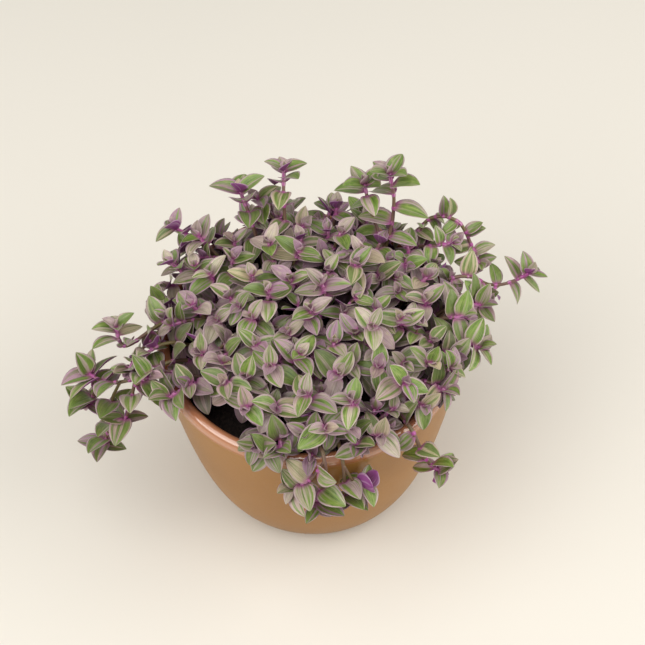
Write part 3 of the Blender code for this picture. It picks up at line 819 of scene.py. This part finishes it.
def fine_half_width(u):
    """Half a fine leaf's width along it, as a share of its greatest: a clasping base, and an acute tip."""
    base = np.sqrt(np.clip(1 - ((WIDEST - u) / BASE_REACH) ** 2, 0, 1))
    tip = np.clip(1 - (np.clip(u - WIDEST, 0, 1) / (1 - WIDEST)) ** TIP_CURVE[0], 0, 1) ** TIP_CURVE[1]
    return np.where(u < WIDEST, base, tip)


def blade_faces():
    """The faces of a fine blade: its upper side, then its under side. The border is shared."""
    rows, columns = len(ALONG), len(ACROSS)
    tip = rows * columns
    upper = np.arange(tip).reshape(rows, columns)
    under = upper.copy()
    under[1:, 1:-1] = tip + 1 + np.arange((rows - 1) * (columns - 2)).reshape(rows - 1, -1)

    def side(grid):
        quads = np.stack([grid[:-1, :-1], grid[:-1, 1:], grid[1:, 1:], grid[1:, :-1]], axis=-1).reshape(-1, 4)
        last = grid[-1].tolist()
        return [tuple(quad) for quad in quads.tolist()] + [(a, b, tip) for a, b in zip(last, last[1:])]

    top, bottom = side(upper), [(face[0], *face[:0:-1]) for face in side(under)]
    return top + bottom, [LEAF_TOP] * len(top) + [LEAF_UNDER] * len(bottom)


FINE_FACES, FINE_FINISHES = blade_faces()


def fine_blade(leaf, draw):
    """Corners and pattern places of a fine leaf: a thin lens across, folded, cupped and a little wavy."""
    direction, side, face = (np.array(v) for v in (leaf.direction, leaf.side, leaf.face))
    width = LEAF_WIDTH * leaf.length * (1.15 if leaf.age < 0 else draw.uniform(0.94, 1.06))
    fold = FOLDS.get(leaf.age, FOLD)
    twist = draw.uniform(-0.12, 0.12)
    sway = draw.uniform(-0.05, 0.05)
    ripple, beat, phase = draw.uniform(0.0, 0.05), draw.uniform(7, 12), draw.uniform(0, 6)

    def surface(u, v, lift):
        turn = leaf.bend * u
        bent = abs(leaf.bend) > STRAIGHT
        ahead = np.sin(turn) / leaf.bend if bent else u
        down = (1 - np.cos(turn)) / leaf.bend if bent else 0 * u
        half = width * fine_half_width(u)
        facing = np.cos(turn)[..., None] * face + np.sin(turn)[..., None] * direction
        across = side + (twist * u)[..., None] * facing
        middle = np.array(leaf.base) + leaf.length * (ahead[..., None] * direction - down[..., None] * face)
        middle = middle + (sway * leaf.length * np.sin(np.pi * u))[..., None] * side
        wave = ripple * half * np.sin(beat * u + phase + 2 * np.sign(v)) * np.abs(v) ** 3
        raised = fold * half * np.abs(v) ** CUP + wave + lift
        return middle + (v * half)[..., None] * across + raised[..., None] * facing

    u, v = np.meshgrid(ALONG, ACROSS, indexing="ij")
    swell = FINE_BLADE / 2 * np.sqrt(np.clip(1 - v**2, 0, 1)) * np.minimum(1, fine_half_width(u) * 2)
    swell[0] = 0
    groove = GROOVE * FINE_BLADE * np.exp(-((v / GROOVE) ** 2)) * (u < 0.93)
    groove[0] = 0
    top = surface(u, v, swell - groove).reshape(-1, 3)
    tip = surface(np.array([1.0]), np.array([0.0]), np.array([0.0]))
    bottom = surface(u, v, -swell)[1:, 1:-1].reshape(-1, 3)
    pattern = np.stack([u, (v + 1) / 2], axis=-1)
    places = np.concatenate([pattern.reshape(-1, 2), [[1.0, 0.5]], pattern[1:, 1:-1].reshape(-1, 2)])
    return np.concatenate([top, tip, bottom]), places


def leaf_tone(leaf, reaches, draw):
    """How pale a leaf is, a number of its own, how pink it is, and how much painted shade it gets for standing deep
    in the mound.
    """
    kind = draw.random()
    if leaf.age < 0:
        pale = draw.uniform(0.88, 1.0)
    elif kind < GREEN_LEAVES:
        pale = draw.uniform(0.0, 0.12)
    elif kind < PALE_LEAVES:
        pale = draw.uniform(0.65, 1.0)
    else:
        pale = draw.uniform(0.2, 0.6) + (0.2 if leaf.age == 0 else 0.0)
    if reaches and leaf.age >= 0:
        pale *= REACHING_PALE
    pink = draw.uniform(0.1, 0.75) + (0.15 if leaf.age < 1 else 0.0)
    out = leaf.base.xy.length / RIM_RADIUS
    # painted shade: how far the leaf stands below the mound's crown, as a share of SHADE_DEPTH
    painted_shade = (RIM_HEIGHT + crown_height(out) - leaf.base.z) / SHADE_DEPTH if out <= 1 else 0.0
    return pale, draw.random(), pink, min(max(painted_shade, 0.0), 1.0)


def fine_tube(axis, nodes):
    """Corners, faces, pattern places and tones of a fine stem, swollen into a sheath above each node."""
    count = max(4, round(axis.length / FINE_STEP))
    places = sorted({axis.length * i / count for i in range(count + 1)})
    own = (axis.length * 977) % 1
    corners, pattern, tones = [], [], []
    first = axis.direction(0).orthogonal().normalized()
    for d in places:
        grow = axis.direction(d)
        first = (first - first.dot(grow) * grow).normalized()
        sheath = 0.0
        for node in nodes:
            past = (d - node + SHEATH_BELOW) / SHEATH_LENGTH
            if 0 < past < 1:
                sheath = max(sheath, math.sin(math.pi * past**0.6))
        radius = axis.radius(d) + SHEATH * sheath
        radius *= END_SHARE if d > axis.length - 0.1 * MM else 1.0
        corners += ring_corners(axis.eased(d), grow, first, radius, FINE_SIDES)
        pattern += [(d / (10 * MM), k / FINE_SIDES) for k in range(FINE_SIDES)]
        tones += [(sheath, own, d / axis.length, 0.0)] * FINE_SIDES
    faces = ring_faces(len(places), FINE_SIDES)
    faces.append(tuple(reversed(range(FINE_SIDES))))
    faces.append(tuple(range(len(corners) - FINE_SIDES, len(corners))))
    return [tuple(c) for c in corners], faces, pattern, tones


def dress_stem(stem, materials):
    """The fine piece that stands for one leafy stem."""
    draw = random.Random(stem.name)
    reaches = "mound" not in stem.name
    piece = Piece()
    for axis in stem.axes:
        nodes = [leaf.at for leaf in stem.leaves if leaf.axis is axis]
        corners, faces, pattern, tones = fine_tube(axis, nodes)
        piece.add(corners, faces, [STEM_SKIN] * len(faces), pattern, tones)
    for leaf in stem.leaves:
        corners, pattern = fine_blade(leaf, draw)
        tones = [leaf_tone(leaf, reaches, draw)] * len(corners)
        piece.add(corners, FINE_FACES, FINE_FINISHES, pattern, tones)
    settle(piece.build("fine_" + stem.name, materials), stem.name)


def settle(obj, node):
    """Ties a piece to the frame: it rides on the part's body and stands for a node."""
    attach(obj, "root")
    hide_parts(node)


def turned_solid(first, rings, last, steps):
    """Corners and faces of a solid about the axis: a middle point, rings out and down, and a middle point."""
    corners = [first, *(tuple(corner) for ring in rings for corner in ring), last]
    end = len(corners) - 1 - steps
    faces = [(0, 1 + k, 1 + (k + 1) % steps) for k in range(steps)]
    faces += [(1 + a, 1 + d, 1 + c, 1 + b) for a, b, c, d in ring_faces(len(rings), steps)]
    faces += [(end + k, end + steps, end + (k + 1) % steps) for k in range(steps)]
    return corners, faces


def fine_bowl(materials):
    """The bowl, with its lip in the second material."""
    (_, floor), *body = [point for point in bowl_profile(*FINE_POINTS) if point[1] > FOOT_RING[-1][1] * MM]
    body += [(FOOT_RADIUS + out * MM, up * MM) for out, up in FOOT_RING]
    rings = [around(r, z, FINE_STEPS) for r, z in body]
    corners, faces = turned_solid((0, 0, floor), rings, (0, 0, body[-1][1]), FINE_STEPS)
    finishes = [0] * FINE_STEPS
    finishes += [int(z > GLOSSY_FROM) for _, z in body[:-1] for _ in range(FINE_STEPS)]
    finishes += [0] * FINE_STEPS
    piece = Piece()
    piece.add(corners, faces, finishes, [(x * 10, z * 10) for x, _, z in corners], [NO_TONE] * len(corners))
    settle(piece.build("fine_bowl", materials), "bowl")


def fine_soil(materials):
    """The soil, crumbly on top, down to the bowl's floor."""
    count, steps, calm_edge = 46, 200, 0.3
    top_radius = outer_radius(SOIL_HEIGHT) - WALL - SIDE_GAP
    rings = []
    for ring in range(1, count + 1):
        rings.append(around(top_radius * ring / count, SOIL_HEIGHT, steps))
        for p in rings[-1]:
            rough = sum(noise.noise(p * close) * high for close, high in CRUMBS)
            p.z += rough * MM * (calm_edge if ring == count else 1)
    wall = [(r - SIDE_GAP, z) for r, z in reversed(inner_wall(FINE_POINTS[0])) if z < SOIL_HEIGHT - 2 * MM]
    rings += [around(r, z + SEAT_GAP, steps) for r, z in wall]
    corners, faces = turned_solid((0, 0, SOIL_HEIGHT), rings, (0, 0, FLOOR + SEAT_GAP), steps)
    piece = Piece()
    piece.add(corners, faces, [0] * len(faces), [(x * 20, y * 20) for x, y, _ in corners], [NO_TONE] * len(corners))
    settle(piece.build("fine_soil", materials), "soil")


class Nodes:
    """A material's node tree, built by short calls."""

    def __init__(self, name):
        self.material = bpy.data.materials.new(name)
        self.material.use_nodes = True
        self.tree = self.material.node_tree
        self.shader = self.tree.nodes["Principled BSDF"]

    def add(self, kind, inputs=None, **settings):
        node = self.tree.nodes.new("ShaderNode" + kind)
        for key, value in settings.items():
            setattr(node, key, value)
        for key, value in (inputs or {}).items():
            self.feed(node.inputs[key], value)
        return node

    def feed(self, socket, value):
        if isinstance(value, bpy.types.NodeSocket):
            self.tree.links.new(value, socket)
        elif hasattr(socket.default_value, "__len__") and len(socket.default_value) == 4 and len(value) == 3:
            socket.default_value = (*value, 1)
        else:
            socket.default_value = value

    def math(self, operation, *values):
        return self.add("Math", dict(enumerate(values)), operation=operation).outputs[0]

    def times(self, a, b):
        return self.math("MULTIPLY", a, b)

    def plus(self, a, b):
        return self.math("ADD", a, b)

    def minus(self, a, b):
        return self.math("SUBTRACT", a, b)

    def mix(self, share, a, b):
        """Colour a where the share is 0, and b where it is 1."""
        return self.add("Mix", {0: share, 6: a, 7: b}, data_type="RGBA").outputs[2]

    def step(self, value, low, high, most=1.0):
        """0 below low, the most above high, and smooth between."""
        inputs = {"Value": value, "From Min": low, "From Max": high, "To Min": 0.0, "To Max": most}
        return self.add("MapRange", inputs, interpolation_type="SMOOTHSTEP").outputs[0]

    def layers(self, colour, *layers):
        """A colour under layers: the value that each follows, its low, high and most, and its colour."""
        for *ramp, tint in layers:
            colour = self.mix(self.step(*ramp), colour, tint)
        return colour

    def noise(self, vector, scale, detail=2.0, roughness=0.5):
        inputs = {"Vector": vector, "Scale": scale, "Detail": detail, "Roughness": roughness}
        return self.add("TexNoise", inputs).outputs[0]

    def vector(self, x, y, z):
        return self.add("CombineXYZ", {0: x, 1: y, 2: z}).outputs[0]

    def streaks(self, x, y, seed, scale, detail):
        """Noise over x and y, each given as a value and how much closer its streaks lie."""
        return self.noise(self.vector(self.times(*x), self.times(*y), seed), scale, detail)

    def position(self):
        return self.add("NewGeometry").outputs["Position"]

    def pattern(self):
        """A corner's place on the pattern, along and across, and its four tones."""
        place = self.add("SeparateXYZ", {0: self.add("UVMap", uv_map="pattern").outputs[0]}).outputs
        tone = self.add("Attribute", attribute_name="tone").outputs
        parts = self.add("SeparateColor", {0: tone["Color"]}).outputs
        return place[0], place[1], parts[0], parts[1], parts[2], tone["Alpha"]

    def from_midrib(self, across):
        return self.math("ABSOLUTE", self.minus(self.times(across, 2.0), 1.0))

    def bump(self, height, strength, distance):
        inputs = {"Height": height, "Strength": strength, "Distance": distance}
        self.feed(self.shader.inputs["Normal"], self.add("Bump", inputs).outputs[0])

    def finish(self, colour, roughness, **plain):
        self.feed(self.shader.inputs["Base Color"], colour)
        self.feed(self.shader.inputs["Roughness"], roughness)
        for key, value in plain.items():
            self.feed(self.shader.inputs[key.replace("_", " ")], value)
        return self.material


def leaf_top_material():
    """Green with pale stripes along the blade, a pale margin, a rose blush, a purple base, and painted shade deeper
    in the mound.
    """
    n = Nodes("striped leaf")
    along, across, pale, own, pink, painted_shade = n.pattern()
    middle = n.from_midrib(across)
    seed = n.times(own, 61.0)
    warp = n.times(n.minus(n.noise(n.vector(along, across, seed), 3.2), 0.5), 0.07)
    bands = n.streaks((n.plus(across, warp), 3.6), (along, 0.35), seed, 1.0, 2.5)
    level = n.minus(0.64, n.times(pale, 0.28))
    stripe = n.step(bands, n.minus(level, 0.06), n.plus(level, 0.07), 0.92)
    ragged = n.streaks((along, 2.6), (across, 1.4), seed, 2.0, 3.0)
    edge = n.minus(n.minus(1.03, n.times(ragged, 0.27)), n.times(pale, 0.26))
    margin = n.step(middle, n.minus(edge, 0.08), n.plus(edge, 0.05))
    thin = n.times(n.math("FRACT", n.times(own, 7.0)), 0.12)
    line = n.times(n.step(middle, n.plus(thin, 0.05), thin), n.step(thin, 0.03, 0.05))
    light = n.math("MAXIMUM", n.math("MAXIMUM", stripe, margin), n.times(line, 0.8))
    veins = n.streaks((across, 22.0), (along, 1.0), seed, 1.0, 3.0)
    threads = n.streaks((across, 46.0), (along, 1.6), seed, 1.0, 2.0)
    mottle = n.streaks((along, 2.0), (across, 2.0), seed, 2.4, 3.0)

    green = n.layers(
        (0.075, 0.155, 0.012),
        (veins, 0.32, 0.66, (0.22, 0.355, 0.042)),
        (mottle, 0.42, 0.85, (0.32, 0.39, 0.11)),
        (own, 0.6, 1.0, 0.5, (0.1, 0.13, 0.04)),
        (threads, 0.5, 0.64, 0.4, (0.33, 0.36, 0.17)),
        (threads, 0.48, 0.36, 0.45, (0.06, 0.1, 0.02)),
    )
    streak = n.times(n.step(veins, 0.53, 0.63), n.minus(0.65, n.times(margin, 0.4)))
    yellowish = (own, 0.7, 0.85, 0.6, (0.64, 0.54, 0.28))
    cream = n.layers((0.6, 0.54, 0.385), (mottle, 0.3, 0.8, (0.52, 0.41, 0.36)), yellowish)
    cream = n.mix(streak, cream, (0.24, 0.27, 0.1))
    rose = n.mix(n.step(veins, 0.3, 0.7), (0.46, 0.262, 0.385), (0.28, 0.098, 0.245))
    flush = n.plus(n.times(pale, 0.3), n.plus(0.3, n.times(pink, 0.4)))
    rim = n.times(n.step(middle, 0.7, 0.95), flush)
    blush = n.math("MAXIMUM", rim, n.times(n.step(pink, 0.15, 0.85), n.step(mottle, 0.15, 0.5)))
    pale_colour = n.mix(n.times(blush, 0.9), cream, rose)
    pale_colour = n.mix(n.step(threads, 0.47, 0.36, 0.4), pale_colour, (0.22, 0.15, 0.13))

    colour = n.layers(
        n.mix(light, green, pale_colour),
        (middle, 0.88, 0.97, 0.6, (0.6, 0.5, 0.47)),
        (along, 0.26, 0.0, 0.85, (0.42, 0.065, 0.3)),
        # painted shade: leaves deeper in the mound are darkened towards dark purple
        (painted_shade, 0.15, 0.95, 0.7, (0.125, 0.035, 0.095)),
    )
    dim = n.times(n.math("FRACT", n.times(own, 13.0)), 0.2)
    colour = n.mix(dim, colour, (0.05, 0.045, 0.04))
    rough = n.plus(0.36, n.times(mottle, 0.16))
    n.bump(n.plus(veins, n.step(middle, 0.0, 0.12, 0.6)), 0.35, 0.00012)
    return n.finish(colour, rough, Specular_IOR_Level=0.5, Coat_Weight=0.12, Coat_Roughness=0.35)


def leaf_under_material():
    """Purple with paler bands, or rose, green and cream on a rolled young leaf, darkened by painted shade deeper in
    the mound.
    """
    n = Nodes("purple underside")
    along, across, pale, own, _, painted_shade = n.pattern()
    middle = n.from_midrib(across)
    seed = n.times(own, 43.0)
    bands = n.streaks((across, 9.0), (along, 0.5), seed, 1.0, 3.0)
    light = n.step(bands, n.minus(0.62, n.times(pale, 0.22)), 0.72)
    purple = n.mix(n.noise(n.vector(along, across, seed), 3.0), (0.22, 0.035, 0.2), (0.33, 0.1, 0.31))
    colour = n.mix(light, purple, (0.47, 0.29, 0.45))
    colour = n.mix(n.step(middle, 0.8, 0.98), colour, (0.52, 0.33, 0.48))
    young = n.layers(
        (0.43, 0.28, 0.335),
        (middle, 0.5, 0.12, (0.22, 0.23, 0.09)),
        (bands, 0.45, 0.7, (0.52, 0.41, 0.39)),
        (along, 0.55, 0.05, 0.9, (0.42, 0.1, 0.3)),
    )
    colour = n.mix(n.step(pale, 0.72, 0.9), colour, young)
    # painted shade: undersides deeper in the mound are darkened
    colour = n.mix(n.times(painted_shade, 0.4), colour, (0.11, 0.022, 0.1))
    n.bump(bands, 0.3, 0.00012)
    return n.finish(colour, n.plus(0.4, n.times(bands, 0.15)), Specular_IOR_Level=0.45)


def stem_material():
    """Olive to reddish skin, pinker near the tip, with a purple sheath above each node."""
    n = Nodes("sheathed stem")
    along, turn, sheathed, own, way_up, _ = n.pattern()
    streaks = n.streaks((along, 0.8), (turn, 9.0), own, 1.0, 2.0)
    patches = n.noise(n.position(), 90.0)
    skin = n.layers(
        (0.14, 0.11, 0.035),
        (patches, 0.35, 0.65, (0.15, 0.075, 0.06)),
        (streaks, 0.45, 0.75, 0.6, (0.26, 0.2, 0.1)),
        (way_up, 0.8, 1.0, 0.6, (0.33, 0.13, 0.2)),
    )
    sheath = n.mix(n.step(streaks, 0.4, 0.7), (0.38, 0.06, 0.27), (0.54, 0.27, 0.42))
    colour = n.mix(n.step(sheathed, 0.1, 0.7), skin, sheath)
    n.bump(streaks, 0.4, 0.0001)
    return n.finish(colour, n.plus(0.38, n.times(patches, 0.2)), Specular_IOR_Level=0.5)


def glaze_material(name, coat, coat_ior):
    """Glazed terracotta, warmer and smoother at the rim, under a clear coat of this weight."""
    n = Nodes(name)
    where = n.position()
    clouds, grain = n.noise(where, 18.0, 3.0), n.noise(where, 900.0)
    level = n.plus(n.add("SeparateXYZ", {0: where}).outputs[2], n.times(clouds, 0.0012))
    body = n.layers(
        (0.318, 0.145, 0.031),
        (clouds, 0.3, 0.72, (0.355, 0.168, 0.039)),
        (grain, 0.62, 0.72, 0.25, (0.28, 0.13, 0.034)),
        (level, 0.03, 0.0, 0.3, (0.28, 0.135, 0.036)),
    )
    rim = n.mix(n.step(clouds, 0.3, 0.7), (0.41, 0.165, 0.068), (0.465, 0.2, 0.095))
    colour = n.mix(n.step(level, 0.1085, 0.1115), body, rim)
    rough = n.plus(n.step(level, 0.111, 0.108, 0.14), n.plus(0.2, n.times(grain, 0.08)))
    n.bump(n.plus(n.times(clouds, 2.0), n.times(grain, 0.15)), 0.12, 0.0006)
    return n.finish(colour, rough, Specular_IOR_Level=0.15, Coat_Weight=coat, Coat_IOR=coat_ior, Coat_Roughness=0.1)


def soil_material():
    """Dark soil, darkened to near-black as painted shade, with a few brown crumbs."""
    n = Nodes("potting soil")
    where = n.position()
    crumbs, lumps = n.noise(where, 700.0, 4.0, 0.7), n.noise(where, 160.0, 3.0)
    brown, bark = (0.032, 0.022, 0.016), (0.09, 0.06, 0.04)
    # The near-black ground is partly the soil's own dark colour and partly painted shade from the foliage above it
    colour = n.layers((0.008, 0.0055, 0.005), (crumbs, 0.35, 0.7, brown), (crumbs, 0.7, 0.78, bark))
    n.bump(n.plus(crumbs, lumps), 0.9, 0.0008)
    return n.finish(colour, n.plus(0.8, n.times(lumps, 0.18)), Specular_IOR_Level=0.25)


def add_floor():
    n = Nodes("pale floor")
    pale = n.mix(n.noise(n.position(), 3.0), (0.72, 0.69, 0.62), (0.76, 0.73, 0.66))
    mesh = bpy.data.meshes.new("floor")
    reach = 6.0
    corners = [(-reach, -reach, 0), (reach, -reach, 0), (reach, reach, 0), (-reach, reach, 0)]
    mesh.from_pydata(corners, [], [(0, 1, 2, 3)])
    mesh.materials.append(n.finish(pale, 0.6))
    add_object("floor", mesh)


def add_light(name, place, size, power, colour):
    """A soft light of this width and height, which faces the bowl."""
    lamp = bpy.data.lights.new(name, "AREA")
    lamp.shape = "ELLIPSE"
    lamp.size, lamp.size_y = size
    lamp.energy, lamp.color = power, colour
    bowl = Vector((0, 0, 0.1))
    obj = add_object(name, lamp)
    obj.location = place
    obj.rotation_euler = (bowl - Vector(place)).to_track_quat("-Z", "Y").to_euler()


def add_camera():
    """The camera looks down on the bowl from the front, with its horizon tipped a little."""
    lens = bpy.data.cameras.new("camera")
    lens.sensor_width = SENSOR_WIDTH
    lens.lens = SENSOR_WIDTH * FOCAL_PIXELS / IMAGE_WIDTH
    lens.clip_start = 0.01
    raised = Matrix.Rotation(math.radians(90 - CAMERA_ELEVATION), 4, "X")
    tipped = Matrix.Rotation(math.radians(CAMERA_TIP), 4, "Z")
    back = Matrix.Translation((0, 0, CAMERA_DISTANCE))
    camera = add_object("camera", lens)
    camera.matrix_world = Matrix.Translation(CAMERA_AIM) @ raised @ tipped @ back
    bpy.context.scene.camera = camera


def add_world():
    world = bpy.data.worlds.new("studio")
    world.use_nodes = True
    sky = world.node_tree.nodes["Background"]
    sky.inputs["Color"].default_value = (1.0, 0.98, 0.95, 1)
    sky.inputs["Strength"].default_value = 0.46
    bpy.context.scene.world = world


def main():
    crowd = surroundings()
    reaching, mound = grow_plant(crowd)
    fill_mound(reaching, mound, crowd)
    leafy = [leaf_top_material(), leaf_under_material(), stem_material()]
    for stem in reaching:
        open_pairs(stem, crowd, random.Random(stem.name + " tips"))
    for stem in reaching + mound:
        close_buds(stem, random.Random(stem.name + " buds"))
        dress_stem(stem, leafy)
    fine_bowl([glaze_material("terracotta glaze", 0.05, 1.5), glaze_material("glossy terracotta lip", 1.0, 1.9)])
    fine_soil([soil_material()])
    add_floor()
    add_world()
    for light in LIGHTS:
        add_light(*light)
    add_camera()
    bpy.context.scene.view_settings.view_transform = "Standard"


main()
